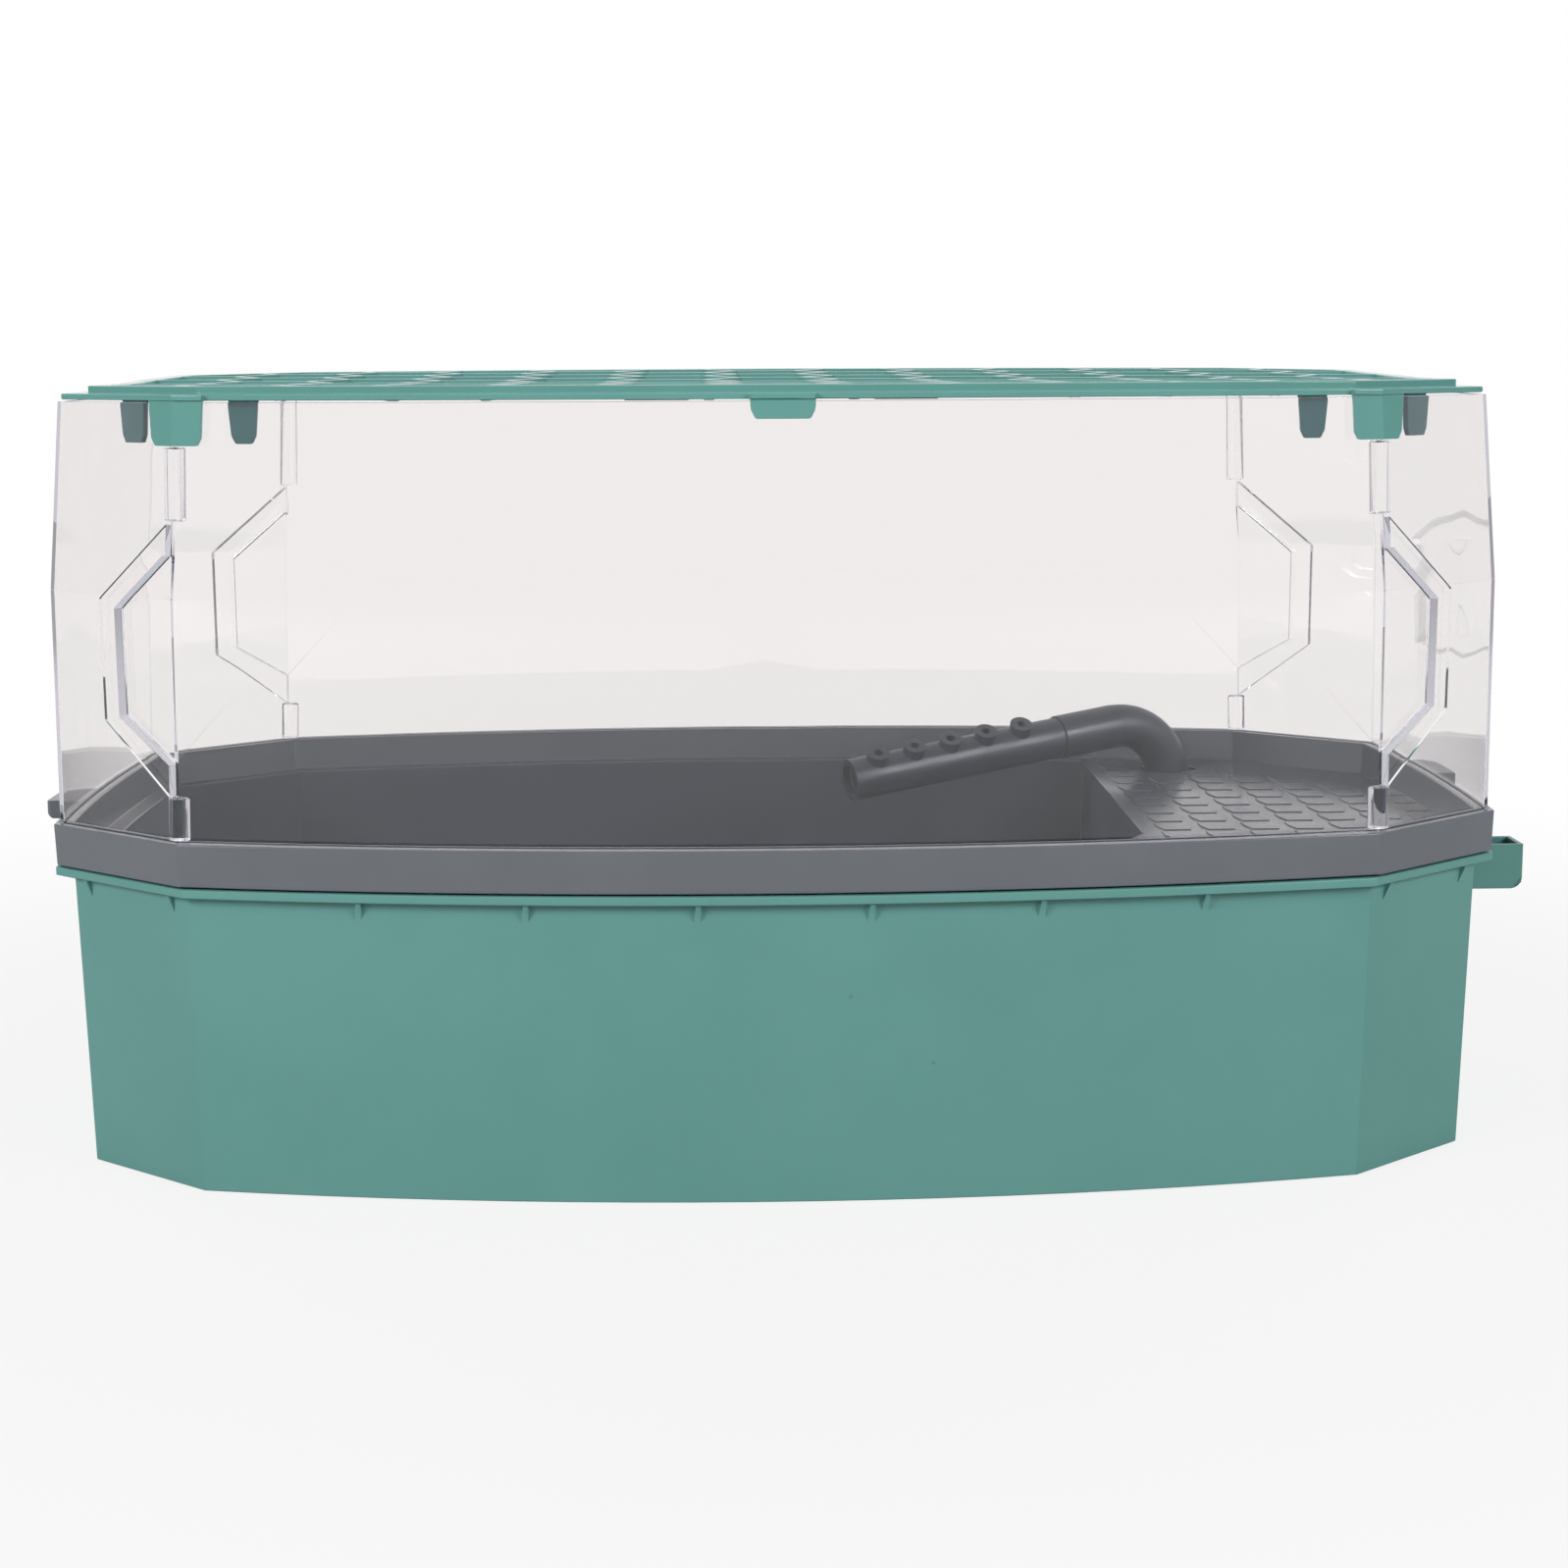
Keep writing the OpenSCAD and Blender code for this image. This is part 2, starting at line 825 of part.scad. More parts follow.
module vane_wheel() {
    color("#d9dcdc")
    difference() {
        union() {
            rod_y(26, 90, 92);
            rod_y(7, 84, 100);
            for (a = [0:60:300]) {
                translate([px, 0, pump_z])
                    rotate([0, a, 0])
                        translate([3, 91.5, -0.7])
                            cube([9.8, 8.5, 1.4]);
            }
        }
        rod_y(shaft_d + 0.1, 80, 101);
    }
}

module impeller_shaft() {
    color("#e8e4da") rod_y(shaft_d, 55.8, 105.5);
}

module shaft_bushes() {
    color("#26282a") {
        difference() {
            rod_y(7, well_y0 + 1, 58.4);
            rod_y(shaft_d, 55.8, 60);
        }
        difference() {
            rod_y(6, 102.4, 105.8);
            rod_y(shaft_d, 102, 105.5);
        }
    }
}

// Plate over the impeller chamber with the central inlet
module volute_cover() {
    color("#2f3437")
    difference() {
        rod_y(chamber_d - 4, 104.3, 107.5);
        difference() {
            rod_y(18, 104, 108);
            rod_y(8.5, 104, 108);
            for (a = [0:120:240]) {
                translate([px, 103, pump_z]) rotate([0, a, 0]) translate([0, 0, -1.5]) cube([12, 8, 3]);
            }
        }
        rod_y(6, 104, 105.8);
    }
}

module intake_cover() {
    color("#2f3437")
    difference() {
        rod_y(chamber_d + 4, 108.1, 118);
        rod_y(chamber_d, 107, 116);
        for (i = [-2:2]) {
            block([px + i * 6 - 1.5, 115, pump_z - 20], [px + i * 6 + 1.5, 119, pump_z - 3]);
        }
        rod_y(6.2, 115, 119);
        for (a = [70, 110]) {
            translate([px, 115, pump_z]) rotate([0, -a, 0]) translate([8, 0, -2]) cube([9, 4, 4]);
        }
    }
    color("#2f3437")
    difference() {
        rod_y(chamber_d + 4, 106, 108.1 + eps);
        rod_y(chamber_d, 105, 109);
    }
}

module flow_knob() {
    color("#4f8f8a") {
        rod_y(16, 118.3, 120.5);
        rod_y(6, 114, 118.4);
        difference() {
            rod_y(34, 113.2, 115.5);
            block([px - 30, 110, pump_z - 30], [px + 30, 120, pump_z - 3.5]);
        }
        block([px - 1, 120.4, pump_z - 7], [px + 1, 122, pump_z + 7]);
    }
}

module suction_cups() {
    color("#9fb3b4")
    for (sx = [-1, 1]) {
        for (y = [44, 76]) {
            translate([px + sx * 16, y, base_floor]) {
                cylinder(d1 = 16, d2 = 9, h = 3, $fn = 32);
                translate([0, 0, 2.9]) cylinder(d = 5, h = motor_z0 - base_floor - 2.9, $fn = 32);
            }
        }
    }
}

module lead_gland() {
    color("#26282a")
    difference() {
        union() {
            rod_y(10, motor_y0, motor_y0 + 3);
            rod_y(13, motor_y0 - 4, motor_y0);
        }
        rod_y(5.4, motor_y0 - 5, motor_y0 + 4);
    }
}

// ---------- drain filter ----------

basket_z0 = 11;
flange_z0 = basin_floor_z + 0.3;
flange_h = 2;

module at_drain() {
    translate([drain[0], drain[1], 0]) children();
}

module grid_holes(d, pitch) {
    for (i = [-4:4]) {
        for (j = [-4:4]) {
            if (norm([i, j]) * pitch < basket_d / 2 - 6) {
                translate([i * pitch, j * pitch, 0]) cylinder(d = d, h = 8, center = true, $fn = 16);
            }
        }
    }
}

module filter_basket() {
    color("#4a5356")
    at_drain()
    difference() {
        union() {
            translate([0, 0, basket_z0]) cylinder(d = basket_d, h = flange_z0 + flange_h - basket_z0, $fn = tube_fn);
            translate([0, 0, flange_z0]) cylinder(d = basket_d + 10, h = flange_h, $fn = tube_fn);
        }
        translate([0, 0, basket_z0 + 2]) cylinder(d = basket_d - 4, h = 60, $fn = tube_fn);
        translate([0, 0, basket_z0 + 1]) grid_holes(4.4, 7);
    }
}

module coarse_sponge() {
    color("#3f4a3c")
    at_drain() translate([0, 0, 26.4]) cylinder(d = basket_d - 4.6, h = 13, $fn = tube_fn);
}

module fine_wool() {
    color("#e9ebe8")
    at_drain() translate([0, 0, basket_z0 + 2]) cylinder(d = basket_d - 4.6, h = 13, $fn = tube_fn);
}

tower_d = 28;
tower_z1 = 88;

// Overflow pipe that sets the water level
module standpipe() {
    low = flange_z0 + flange_h + 0.3;
    color("#5e6a6e")
    at_drain()
    difference() {
        union() {
            translate([0, 0, low]) cylinder(d = basket_d + 6, h = 2.4, $fn = tube_fn);
            translate([0, 0, low - 3]) cylinder(d = basket_d - 4.4, h = 3.1, $fn = tube_fn);
            translate([0, 0, low]) cylinder(d = tower_d, h = tower_z1 - low, $fn = tube_fn);
        }
        translate([0, 0, low - 4]) cylinder(d = basket_d - 8, h = 4, $fn = tube_fn);
        translate([0, 0, low - 1]) cylinder(d = tower_d - 4, h = 80, $fn = tube_fn);
    }
}

module strainer_cap() {
    cap_z0 = 74;
    color("#4a5356")
    at_drain()
    difference() {
        translate([0, 0, cap_z0]) cylinder(d = tower_d + 5, h = 24, $fn = tube_fn);
        translate([0, 0, cap_z0 - 1]) cylinder(d = tower_d, h = tower_z1 - cap_z0 + 1, $fn = tube_fn);
        translate([0, 0, cap_z0]) cylinder(d = tower_d - 1, h = 22, $fn = tube_fn);
        for (a = [0:30:330]) {
            rotate([0, 0, a]) translate([10, -1.1, tower_z1 + 0.6]) cube([10, 2.2, 7]);
        }
    }
}

// ---------- parts ----------

base_bin();
tray();
climbing_ramp();
front_panel();
back_panel();
left_end_panel();
right_end_panel();
lid_grille();
elbow();
spray_bar();
bar_end_plug();
riser_tube();
pump_housing();
stator_core();
coil();
rotor_magnet();
vane_wheel();
impeller_shaft();
shaft_bushes();
volute_cover();
intake_cover();
flow_knob();
suction_cups();
lead_gland();
filter_basket();
coarse_sponge();
fine_wool();
standpipe();
strainer_cap();
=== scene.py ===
import bpy
import json
import math
from mathutils import Matrix, Vector
from mathutils.bvhtree import BVHTree


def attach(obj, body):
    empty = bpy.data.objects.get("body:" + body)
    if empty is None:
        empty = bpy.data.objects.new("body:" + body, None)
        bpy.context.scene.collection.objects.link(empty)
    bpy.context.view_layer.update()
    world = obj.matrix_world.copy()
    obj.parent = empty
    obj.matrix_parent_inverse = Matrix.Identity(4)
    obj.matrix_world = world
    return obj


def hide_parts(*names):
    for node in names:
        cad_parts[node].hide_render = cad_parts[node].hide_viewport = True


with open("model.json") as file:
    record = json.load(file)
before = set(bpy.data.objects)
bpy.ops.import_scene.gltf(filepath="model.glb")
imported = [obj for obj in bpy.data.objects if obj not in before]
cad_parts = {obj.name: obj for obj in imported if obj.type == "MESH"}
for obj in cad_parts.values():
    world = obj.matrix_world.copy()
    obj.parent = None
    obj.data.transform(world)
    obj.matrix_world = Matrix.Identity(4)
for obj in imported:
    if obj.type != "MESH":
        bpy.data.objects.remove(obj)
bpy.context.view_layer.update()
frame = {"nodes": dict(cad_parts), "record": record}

print("frame loaded")


def hexLinear(code):
    # sRGB hex to the linear values Blender works in
    parts = [int(code[i:i + 2], 16) / 255 for i in (1, 3, 5)]
    return tuple(c / 12.92 if c <= 0.04045 else ((c + 0.055) / 1.055) ** 2.4 for c in parts) + (1.0,)


def addNode(tree, kind, settings=None, links=None):
    # one node with its settings; links maps an input name or number to another node's output
    # a colour Mix has its factor at input 0, its colours at 6 and 7 and its result at output 2
    node = tree.nodes.new(kind)
    for key, value in (settings or {}).items():
        if isinstance(key, str) and hasattr(node, key):
            setattr(node, key, value)
        else:
            node.inputs[key].default_value = value
    for key, source in (links or {}).items():
        tree.links.new(source, node.inputs[key])
    return node


def newMaterial(name):
    mat = bpy.data.materials.new(name)
    mat.use_nodes = True
    mat.node_tree.nodes.clear()
    return mat, mat.node_tree


def onlySelect(obj):
    bpy.ops.object.select_all(action="DESELECT")
    obj.select_set(True)
    bpy.context.view_layer.objects.active = obj


cameraSpec = {
    "place": (-0.02582, -1.00023, 0.27861),
    "yaw": 0.02982,
    "pitch": 0.15951,
    "roll": -0.004727,
    "lens": 61.59,
    "sensorWidth": 36,
    "clipStart": 0.01,
}


def makeCamera(spec):
    yaw, pitch, roll = spec["yaw"], spec["pitch"], spec["roll"]
    ahead = Vector((math.sin(yaw) * math.cos(pitch), math.cos(yaw) * math.cos(pitch), -math.sin(pitch)))
    side = Vector((math.cos(yaw), -math.sin(yaw), 0))
    top = side.cross(ahead)
    sideRolled = side * math.cos(roll) + top * math.sin(roll)
    topRolled = -side * math.sin(roll) + top * math.cos(roll)
    turn = Matrix((sideRolled, topRolled, -ahead)).transposed().to_4x4()
    camera = bpy.data.cameras.new("camera")
    camera.lens = spec["lens"]
    camera.sensor_width = spec["sensorWidth"]
    camera.clip_start = spec["clipStart"]
    obj = bpy.data.objects.new("camera", camera)
    obj.matrix_world = Matrix.Translation(spec["place"]) @ turn
    bpy.context.scene.collection.objects.link(obj)
    bpy.context.scene.camera = obj


makeCamera(cameraSpec)
bpy.context.scene.view_settings.view_transform = "Standard"
print("camera set")


# what all the moulded plastics share; the noise shapes go with the sizes in each plastic's own dictionary
plasticSpec = {
    "noise": {
        "mottleMm": {"Detail": 3.0, "Roughness": 0.55},
        "grainMm": {"Detail": 2.0, "Roughness": 0.5},
        "scuffMm": {"Detail": 8.0, "Roughness": 0.72, "Distortion": 0.6},
    },
    "tone": {"From Min": 0.3, "From Max": 0.7},
    "dot": {"From Min": 0.012, "From Max": 0.02},
    "scuff": {"From Min": 0.35, "From Max": 0.7},
    "polish": 0.04,  # how far the roughness goes down and up across the scuffs
    "dulling": 0.07,
    "skinDepth": 0.00006,
    "specular": 0.5,
}


def mouldedPlastic(name, spec):
    # injection moulded thermoplastic: even colour with faint flow mottling, a fine satin skin and dull handling marks
    mat, tree = newMaterial(name)
    place = addNode(tree, "ShaderNodeTexCoord").outputs["Object"]
    mottle, skin, scuff = (
        addNode(tree, "ShaderNodeTexNoise", {"Scale": 1000 / spec[size], **shape}, {"Vector": place}).outputs["Fac"]
        for size, shape in plasticSpec["noise"].items()
    )
    tone = addNode(tree, "ShaderNodeMapRange", plasticSpec["tone"], {"Value": mottle})
    colour = addNode(
        tree, "ShaderNodeMix",
        {"data_type": "RGBA", 6: hexLinear(spec["dark"]), 7: hexLinear(spec["light"])},
        {0: tone.outputs["Result"]},
    )
    fleck = addNode(tree, "ShaderNodeTexVoronoi", {"feature": "F1", "Scale": 1000 / spec["fleckMm"]}, {"Vector": place})
    dot = addNode(
        tree, "ShaderNodeMapRange",
        {**plasticSpec["dot"], "To Min": spec["fleck"], "To Max": 0.0},
        {"Value": fleck.outputs["Distance"]},
    )
    dotted = addNode(
        tree, "ShaderNodeMix",
        {"data_type": "RGBA", 7: hexLinear(spec["fleckColour"])},
        {0: dot.outputs["Result"], 6: colour.outputs[2]},
    )
    roughRange = {"To Min": spec["rough"] - plasticSpec["polish"], "To Max": spec["rough"] + plasticSpec["dulling"]}
    rough = addNode(tree, "ShaderNodeMapRange", {**plasticSpec["scuff"], **roughRange}, {"Value": scuff})
    bump = addNode(
        tree, "ShaderNodeBump", {"Strength": spec["bump"], "Distance": plasticSpec["skinDepth"]}, {"Height": skin}
    )
    shader = addNode(
        tree, "ShaderNodeBsdfPrincipled",
        {"IOR": spec["ior"], "Specular IOR Level": plasticSpec["specular"]},
        {"Base Color": dotted.outputs[2], "Roughness": rough.outputs["Result"], "Normal": bump.outputs["Normal"]},
    )
    addNode(tree, "ShaderNodeOutputMaterial", {}, {"Surface": shader.outputs["BSDF"]})
    return mat


tealSpec = {
    "light": "#639A93", "dark": "#5F958F", "mottleMm": 60, "grainMm": 0.9, "scuffMm": 45,
    "fleckMm": 42, "fleck": 0.5, "fleckColour": "#487873", "rough": 0.38, "bump": 0.25, "ior": 1.49,
}
lidSpec = {
    "light": "#68A099", "dark": "#649A93", "mottleMm": 60, "grainMm": 0.9, "scuffMm": 45,
    "fleckMm": 42, "fleck": 0.3, "fleckColour": "#487873", "rough": 0.1, "bump": 0.05, "ior": 1.49,
}
greySpec = {
    "light": "#6C7076", "dark": "#66696F", "mottleMm": 50, "grainMm": 0.7, "scuffMm": 30,
    "fleckMm": 60, "fleck": 0.35, "fleckColour": "#8D9297", "rough": 0.19, "bump": 0.1, "ior": 1.49,
}
pipeSpec = {
    "light": "#52585E", "dark": "#4C5157", "mottleMm": 25, "grainMm": 0.6, "scuffMm": 18,
    "fleckMm": 40, "fleck": 0.3, "fleckColour": "#8B979C", "rough": 0.4, "bump": 0.3, "ior": 1.5,
}
pumpSpec = {
    "light": "#2C3033", "dark": "#262A2D", "mottleMm": 20, "grainMm": 0.5, "scuffMm": 12,
    "fleckMm": 50, "fleck": 0.3, "fleckColour": "#555B60", "rough": 0.46, "bump": 0.5, "ior": 1.5,
}
wheelSpec = {
    "light": "#D9DCDC", "dark": "#CDD1D1", "mottleMm": 14, "grainMm": 0.5, "scuffMm": 9,
    "fleckMm": 60, "fleck": 0.1, "fleckColour": "#A9AEAE", "rough": 0.38, "bump": 0.3, "ior": 1.48,
}
knobSpec = {
    "light": "#4E8F89", "dark": "#47857F", "mottleMm": 12, "grainMm": 0.5, "scuffMm": 8,
    "fleckMm": 60, "fleck": 0.2, "fleckColour": "#2F615C", "rough": 0.4, "bump": 0.3, "ior": 1.49,
}

tealPlastic = mouldedPlastic("polypropyleneTeal", tealSpec)
lidPlastic = mouldedPlastic("polypropyleneTealGloss", lidSpec)
greyPlastic = mouldedPlastic("polypropyleneGrey", greySpec)
pipePlastic = mouldedPlastic("absPipeGrey", pipeSpec)
pumpPlastic = mouldedPlastic("absPumpBlack", pumpSpec)
wheelPlastic = mouldedPlastic("acetalWhite", wheelSpec)
knobPlastic = mouldedPlastic("polypropyleneKnob", knobSpec)

clearSpec = {
    "ior": 1.52, "tint": "#F9F7F7",
    "shade": "#C4C9D2",  # what each surface leaves of the light that casts shadows
    "edge": "#CFCFD8",  # a painted tone for the rays that are trapped in a ridge, in place of the light they would bring back
    "trapDepth": 2.5,
    "smearMm": 70, "smearNoise": {"Detail": 6.0, "Roughness": 0.6, "Distortion": 1.2},
    "smearFrom": 0.45, "smearTo": 0.75, "smear": 0.03,
    "waveMm": 110, "waveDetail": 1.0, "wave": 0.02, "waveDepth": 0.0004,
}


def clearPolystyrene(spec):
    # clear polystyrene mouldings: mirror-smooth, a trace of grey, faint smears; light for shadows passes through
    mat, tree = newMaterial("polystyreneClear")
    place = addNode(tree, "ShaderNodeTexCoord").outputs["Object"]
    smear = addNode(
        tree, "ShaderNodeTexNoise", {"Scale": 1000 / spec["smearMm"], **spec["smearNoise"]}, {"Vector": place}
    )
    rough = addNode(
        tree, "ShaderNodeMapRange",
        {"From Min": spec["smearFrom"], "From Max": spec["smearTo"], "To Min": 0.0, "To Max": spec["smear"]},
        {"Value": smear.outputs["Fac"]},
    )
    wave = addNode(
        tree, "ShaderNodeTexNoise", {"Scale": 1000 / spec["waveMm"], "Detail": spec["waveDetail"]}, {"Vector": place}
    )
    bump = addNode(
        tree, "ShaderNodeBump",
        {"Strength": spec["wave"], "Distance": spec["waveDepth"]},
        {"Height": wave.outputs["Fac"]},
    )
    glass = addNode(
        tree, "ShaderNodeBsdfPrincipled",
        {"Base Color": hexLinear(spec["tint"]), "IOR": spec["ior"], "Transmission Weight": 1.0},
        {"Roughness": rough.outputs["Result"], "Normal": bump.outputs["Normal"]},
    )
    ray = addNode(tree, "ShaderNodeLightPath")
    # rays trapped in a ridge by inner reflection pass straight out with a set tone: a painted reflection in place of
    # the ridge's own
    trapped = addNode(
        tree, "ShaderNodeMath", {"operation": "GREATER_THAN", 1: spec["trapDepth"]}, {0: ray.outputs["Glossy Depth"]}
    )
    edge = addNode(tree, "ShaderNodeBsdfTransparent", {"Color": hexLinear(spec["edge"])})
    solid = addNode(
        tree, "ShaderNodeMixShader", {},
        {0: trapped.outputs["Value"], 1: glass.outputs["BSDF"], 2: edge.outputs["BSDF"]},
    )
    through = addNode(tree, "ShaderNodeBsdfTransparent", {"Color": hexLinear(spec["shade"])})
    either = addNode(
        tree, "ShaderNodeMath", {"operation": "MAXIMUM"},
        {0: ray.outputs["Is Shadow Ray"], 1: ray.outputs["Is Diffuse Ray"]},
    )
    mixed = addNode(
        tree, "ShaderNodeMixShader", {},
        {0: either.outputs["Value"], 1: solid.outputs["Shader"], 2: through.outputs["BSDF"]},
    )
    addNode(tree, "ShaderNodeOutputMaterial", {}, {"Surface": mixed.outputs["Shader"]})
    return mat


clearPlastic = clearPolystyrene(clearSpec)

# what the small inner finishes share
grainSpec = {
    "noise": {"Detail": 4.0, "Roughness": 0.6},
    "tone": {"From Min": 0.35, "From Max": 0.65},
}


def simpleFinish(name, spec):
    # small inner parts: a base tone with grain drawn at its real size, and bump from the same grain
    mat, tree = newMaterial(name)
    place = addNode(tree, "ShaderNodeTexCoord").outputs["Object"]
    stretch = addNode(tree, "ShaderNodeMapping", {"Scale": spec.get("stretch", (1, 1, 1))}, {"Vector": place})
    grain = addNode(
        tree, "ShaderNodeTexNoise",
        {"Scale": 1000 / spec["grainMm"], **grainSpec["noise"]},
        {"Vector": stretch.outputs["Vector"]},
    )
    tone = addNode(tree, "ShaderNodeMapRange", grainSpec["tone"], {"Value": grain.outputs["Fac"]})
    colour = addNode(
        tree, "ShaderNodeMix",
        {"data_type": "RGBA", 6: hexLinear(spec["dark"]), 7: hexLinear(spec["light"])},
        {0: tone.outputs["Result"]},
    )
    bump = addNode(
        tree, "ShaderNodeBump",
        {"Strength": spec["bump"], "Distance": spec["depthMm"] / 1000},
        {"Height": grain.outputs["Fac"]},
    )
    shader = addNode(
        tree, "ShaderNodeBsdfPrincipled",
        {"Metallic": spec.get("metal", 0.0), "Roughness": spec["rough"]},
        {"Base Color": colour.outputs[2], "Normal": bump.outputs["Normal"]},
    )
    addNode(tree, "ShaderNodeOutputMaterial", {}, {"Surface": shader.outputs["BSDF"]})
    return mat


coreSteel = simpleFinish("siliconSteelLaminated", {  # punched sheets show as fine lines
    "light": "#8E9294", "dark": "#6C7072", "grainMm": 0.5, "stretch": (0.05, 0.05, 1),
    "bump": 0.5, "depthMm": 0.1, "rough": 0.42, "metal": 1.0,
})
copperWire = simpleFinish("copperEnamelled", {  # turns of lacquered wire
    "light": "#B9713F", "dark": "#8A4A25", "grainMm": 0.4, "stretch": (1, 0.06, 1),
    "bump": 0.8, "depthMm": 0.15, "rough": 0.3, "metal": 0.8,
})
ferrite = simpleFinish("ferriteBonded", {  # pressed magnet powder
    "light": "#3B3C3E", "dark": "#2E2F31", "grainMm": 0.8, "bump": 0.4, "depthMm": 0.05, "rough": 0.55,
})
shaftCeramic = simpleFinish("aluminaGround", {  # ground ivory rod
    "light": "#EEEADF", "dark": "#E4DFD2", "grainMm": 1.2, "bump": 0.1, "depthMm": 0.02, "rough": 0.22,
})
gumRubber = simpleFinish("nitrileRubber", {  # dull black rubber
    "light": "#2B2C2E", "dark": "#222325", "grainMm": 0.7, "bump": 0.3, "depthMm": 0.05, "rough": 0.65,
})
cupSilicone = simpleFinish("siliconeMilky", {  # milky soft cups
    "light": "#B4C2C2", "dark": "#A3B3B3", "grainMm": 3.0, "bump": 0.1, "depthMm": 0.05, "rough": 0.35,
})
openSponge = simpleFinish("polyurethaneOpenCell", {  # coarse pores
    "light": "#59654F", "dark": "#272E23", "grainMm": 1.4, "bump": 1.0, "depthMm": 1.2, "rough": 0.95,
})
feltWool = simpleFinish("polyesterWadding", {  # matted white fibre
    "light": "#F0F1EE", "dark": "#D2D5D0", "grainMm": 2.2, "stretch": (1, 1, 2.5),
    "bump": 0.9, "depthMm": 0.8, "rough": 0.95,
})
print("finishes made")


# every node's finish and how far its edges are rounded, in mm; 0 leaves a small inner part as it is
finishes = {
    "base_bin": (tealPlastic, 0.5), "lid_grille": (lidPlastic, 0.5), "tray": (greyPlastic, 0.55),
    "climbing_ramp": (greyPlastic, 0.4), "front_panel": (clearPlastic, 0.3), "back_panel": (clearPlastic, 0.3),
    "left_end_panel": (clearPlastic, 0.3), "right_end_panel": (clearPlastic, 0.3), "elbow": (pipePlastic, 0.15),
    "spray_bar": (pipePlastic, 0.15), "bar_end_plug": (pipePlastic, 0.3), "riser_tube": (pipePlastic, 0),
    "pump_housing": (pumpPlastic, 0.5), "volute_cover": (pumpPlastic, 0), "intake_cover": (pumpPlastic, 0.4),
    "flow_knob": (knobPlastic, 0.4), "rotor_magnet": (ferrite, 0), "vane_wheel": (wheelPlastic, 0),
    "impeller_shaft": (shaftCeramic, 0), "shaft_bushes": (gumRubber, 0), "lead_gland": (gumRubber, 0),
    "suction_cups": (cupSilicone, 0), "stator_core": (coreSteel, 0), "coil": (copperWire, 0),
    "filter_basket": (pipePlastic, 0.3), "coarse_sponge": (openSponge, 0), "fine_wool": (feltWool, 0),
    "standpipe": (pipePlastic, 0.3), "strainer_cap": (pipePlastic, 0.3),
}
bodyOf = {node: body for body, nodes in frame["record"]["behaviour"]["bodies"].items() for node in nodes}

# the low scales on the tray's shelf: where they lie, how high they stand, and their share of the tray's rounding
scaleSpec = {"shelf": 0.1073, "clear": 0.00002, "top": 0.1086, "fromX": 0.12, "rise": 0.00045, "fine": 0.25}


def scaleEdges(mesh):
    low = scaleSpec["shelf"] + scaleSpec["clear"]
    found = set()
    for face in mesh.polygons:
        if low < face.center.z < scaleSpec["top"] and face.center.x > scaleSpec["fromX"]:
            found.update(mesh.loops[i].edge_index for i in face.loop_indices)
    return found


def lowerScales(obj, edges):
    # the scales stand only half a millimetre proud, with level tops
    mesh = obj.data
    low = scaleSpec["shelf"] + scaleSpec["clear"]
    raised = {i for edge in edges for i in mesh.edges[edge].vertices if mesh.vertices[i].co.z > low}
    bpy.ops.object.mode_set(mode="EDIT")
    bpy.ops.mesh.select_mode(type="VERT")
    bpy.ops.mesh.select_all(action="DESELECT")
    bpy.ops.object.mode_set(mode="OBJECT")
    for i in raised:
        mesh.vertices[i].select = True
    bpy.ops.object.mode_set(mode="EDIT")
    bpy.ops.transform.resize(value=(1, 1, 0), center_override=(0, 0, scaleSpec["shelf"] + scaleSpec["rise"]))
    bpy.ops.object.mode_set(mode="OBJECT")


def settleStrays(mesh, surface, reach):
    # in tight corners the rounding can run over itself; those points go back onto the unrounded surface
    for vertex in mesh.vertices:
        near, _, _, gap = surface.find_nearest(vertex.co)
        if gap > reach:
            vertex.co = near


roundSpec = {
    "merge": 0.000004, "flatDegrees": 0.3, "sharpDegrees": 25, "smoothDegrees": 32,
    "segments": 3,
    "strayShare": 0.5,  # of the rounding; past this a point is a stray
}


def mergedCopy(node, mat):
    # the CAD node's loose triangles as one closed mesh, with its sharp edges selected
    obj = bpy.data.objects.new(node + "Finish", frame["nodes"][node].data.copy())
    bpy.context.scene.collection.objects.link(obj)
    obj.data.materials.clear()
    obj.data.materials.append(mat)
    onlySelect(obj)
    bpy.ops.object.mode_set(mode="EDIT")
    bpy.ops.mesh.select_all(action="SELECT")
    bpy.ops.mesh.remove_doubles(threshold=roundSpec["merge"])
    bpy.ops.mesh.dissolve_limited(angle_limit=math.radians(roundSpec["flatDegrees"]))
    bpy.ops.mesh.quads_convert_to_tris()
    bpy.ops.mesh.select_mode(type="EDGE")
    bpy.ops.mesh.select_all(action="DESELECT")
    bpy.ops.mesh.edges_select_sharp(sharpness=math.radians(roundSpec["sharpDegrees"]))
    bpy.ops.object.mode_set(mode="OBJECT")
    return obj


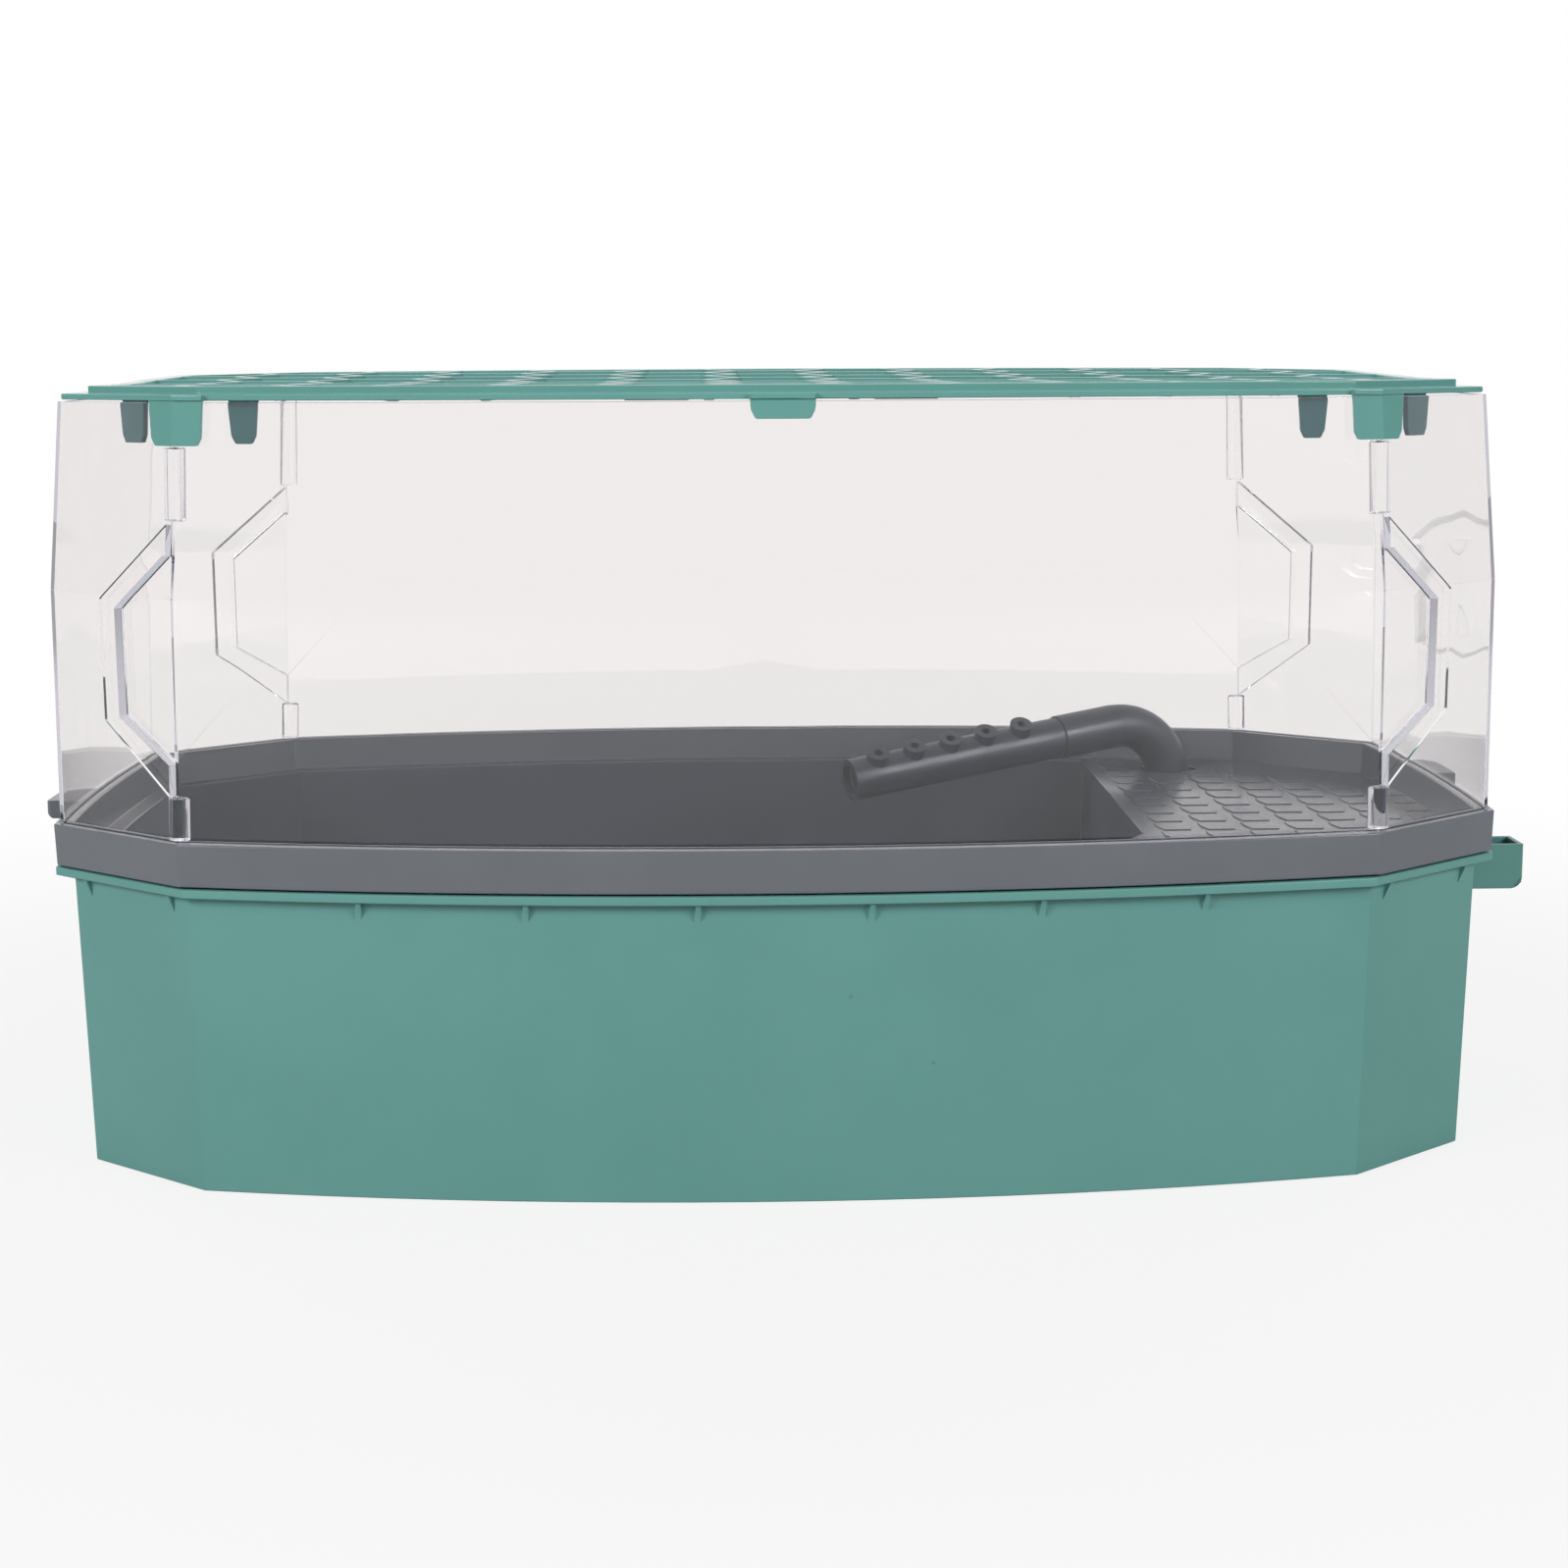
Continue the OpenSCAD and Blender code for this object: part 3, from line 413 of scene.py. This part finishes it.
def roundedCopy(node, edgeMm, mat):
    obj = mergedCopy(node, mat)
    mesh = obj.data
    fine = scaleEdges(mesh) if node == "tray" else set()
    weight = mesh.attributes.new("bevel_weight_edge", "FLOAT", "EDGE")
    for edge in mesh.edges:
        weight.data[edge.index].value = edge.select * (scaleSpec["fine"] if edge.index in fine else 1)
    if fine:
        lowerScales(obj, fine)
    surface = BVHTree.FromPolygons([v.co.copy() for v in mesh.vertices], [tuple(f.vertices) for f in mesh.polygons])

    soft = obj.modifiers.new("soft", "BEVEL")
    soft.width = edgeMm / 1000
    soft.segments = roundSpec["segments"]
    soft.limit_method = "WEIGHT"
    soft.use_clamp_overlap = False
    soft.miter_outer = "MITER_ARC"
    bpy.ops.object.modifier_apply(modifier=soft.name)
    settleStrays(obj.data, surface, roundSpec["strayShare"] * edgeMm / 1000)

    bpy.ops.object.shade_smooth_by_angle(angle=math.radians(roundSpec["smoothDegrees"]))
    even = obj.modifiers.new("even", "WEIGHTED_NORMAL")
    even.mode = "FACE_AREA_WITH_ANGLE"
    even.keep_sharp = True
    bpy.ops.object.modifier_apply(modifier=even.name)
    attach(obj, bodyOf[node])
    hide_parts(node)


for node, (mat, edgeMm) in finishes.items():
    for matSlot in frame["nodes"][node].material_slots:
        matSlot.material = mat
    if edgeMm:
        roundedCopy(node, edgeMm, mat)
print("nodes finished")


stageSpec = {
    "reach": 6.0, "drop": 0.0005,  # the floor's half width, and its gap under the object
    "floorTone": "#C4C4C3",
    "fadeFrom": 0.3, "fadeTo": 0.85, "fadeStart": 0.84,  # the floor glows white away from the object
    "backFrom": 0.1, "backTo": 0.9,
    "fillFront": 0.12, "fillBack": 0.22, "shineFront": 0.12,
    "trapDepth": 2.5,
}


def makeFloor(spec):
    bpy.ops.object.select_all(action="DESELECT")
    bpy.ops.mesh.primitive_plane_add(size=spec["reach"] * 2, location=(0, 0, -spec["drop"]))
    floor = bpy.context.object
    floor.name = "floor"
    mat, tree = newMaterial("paperSweep")
    place = addNode(tree, "ShaderNodeTexCoord").outputs["Object"]
    away = addNode(tree, "ShaderNodeVectorMath", {"operation": "LENGTH"}, {0: place})
    fadeRange = {"From Min": spec["fadeFrom"], "From Max": spec["fadeTo"], "To Min": spec["fadeStart"]}
    fade = addNode(
        tree, "ShaderNodeMapRange",
        {"interpolation_type": "SMOOTHSTEP", **fadeRange},
        {"Value": away.outputs["Value"]},
    )
    paper = addNode(tree, "ShaderNodeBsdfDiffuse", {"Color": hexLinear(spec["floorTone"])})
    glow = addNode(tree, "ShaderNodeEmission", {"Color": (1, 1, 1, 1), "Strength": 1.0})
    ray = addNode(tree, "ShaderNodeLightPath")
    seen = addNode(
        tree, "ShaderNodeMath", {"operation": "MAXIMUM"},
        {0: ray.outputs["Is Camera Ray"], 1: ray.outputs["Is Transmission Ray"]},
    )
    both = addNode(
        tree, "ShaderNodeMath", {"operation": "MULTIPLY"}, {0: seen.outputs["Value"], 1: fade.outputs["Result"]}
    )
    mixed = addNode(
        tree, "ShaderNodeMixShader", {},
        {0: both.outputs["Value"], 1: paper.outputs["BSDF"], 2: glow.outputs["Emission"]},
    )
    addNode(tree, "ShaderNodeOutputMaterial", {}, {"Surface": mixed.outputs["Shader"]})
    floor.data.materials.append(mat)


def makeRoom(spec):
    # a bright sweep behind the object, dimmer on the side of the lamps; white where it is seen directly
    world = bpy.data.worlds.new("studio")
    world.use_nodes = True
    tree = world.node_tree
    tree.nodes.clear()
    place = addNode(tree, "ShaderNodeTexCoord").outputs["Generated"]
    way = addNode(tree, "ShaderNodeSeparateXYZ", {}, {"Vector": place})
    behind = addNode(
        tree, "ShaderNodeMapRange",
        {"interpolation_type": "SMOOTHSTEP", "From Min": spec["backFrom"], "From Max": spec["backTo"]},
        {"Value": way.outputs["Y"]},
    )
    fill, shine = (
        addNode(tree, "ShaderNodeMapRange", {"To Min": front, "To Max": back}, {"Value": behind.outputs["Result"]})
        for front, back in ((spec["fillFront"], spec["fillBack"]), (spec["shineFront"], 1.0))
    )
    ray = addNode(tree, "ShaderNodeLightPath")
    lit = addNode(
        tree, "ShaderNodeMix", {},
        {0: ray.outputs["Is Glossy Ray"], 2: fill.outputs["Result"], 3: shine.outputs["Result"]},
    )
    seen = addNode(
        tree, "ShaderNodeMath", {"operation": "MAXIMUM"},
        {0: ray.outputs["Is Camera Ray"], 1: ray.outputs["Is Transmission Ray"]},
    )
    deep = addNode(
        tree, "ShaderNodeMath", {"operation": "GREATER_THAN", 1: spec["trapDepth"]}, {0: ray.outputs["Glossy Depth"]}
    )
    clear = addNode(
        tree, "ShaderNodeMath", {"operation": "MAXIMUM"}, {0: seen.outputs["Value"], 1: deep.outputs["Value"]}
    )
    level = addNode(tree, "ShaderNodeMath", {"operation": "MAXIMUM"}, {0: clear.outputs["Value"], 1: lit.outputs[0]})
    glowing = addNode(tree, "ShaderNodeBackground", {"Color": (1, 1, 1, 1)}, {"Strength": level.outputs["Value"]})
    addNode(tree, "ShaderNodeOutputWorld", {}, {"Surface": glowing.outputs["Background"]})
    bpy.context.scene.world = world


# the lamps at the back only lift the far sides and leave no glint in the clear walls
lamps = {
    "overhead": {"place": (0, 0.1, 1.9), "aim": (0, 0, 0.1), "size": (1.4, 1.0), "watts": 5.5, "glints": True},
    "frontLeft": {"place": (-1.8, -1.5, 1.2), "aim": (0, 0, 0.12), "size": (0.9, 0.9), "watts": 42, "glints": True},
    "frontRight": {"place": (1.8, -1.6, 1.2), "aim": (0, 0, 0.12), "size": (0.9, 0.9), "watts": 37, "glints": True},
    "backLeft": {"place": (-1.8, 2.0, 1.0), "aim": (0, 0, 0.12), "size": (0.9, 0.9), "watts": 24, "glints": False},
    "backRight": {"place": (1.8, 2.0, 1.0), "aim": (0, 0, 0.12), "size": (0.9, 0.9), "watts": 24, "glints": False},
}


def makeLamps(specs):
    for name, spec in specs.items():
        light = bpy.data.lights.new(name, "AREA")
        light.shape = "RECTANGLE"
        light.size, light.size_y = spec["size"]
        light.energy = spec["watts"]
        obj = bpy.data.objects.new(name, light)
        obj.location = spec["place"]
        aim = Vector(spec["aim"]) - Vector(spec["place"])
        obj.rotation_euler = aim.to_track_quat("-Z", "Y").to_euler()
        obj.visible_glossy = spec["glints"]
        obj.visible_transmission = spec["glints"]
        bpy.context.scene.collection.objects.link(obj)


makeFloor(stageSpec)
makeRoom(stageSpec)
makeLamps(lamps)
print("stage and lamps set")
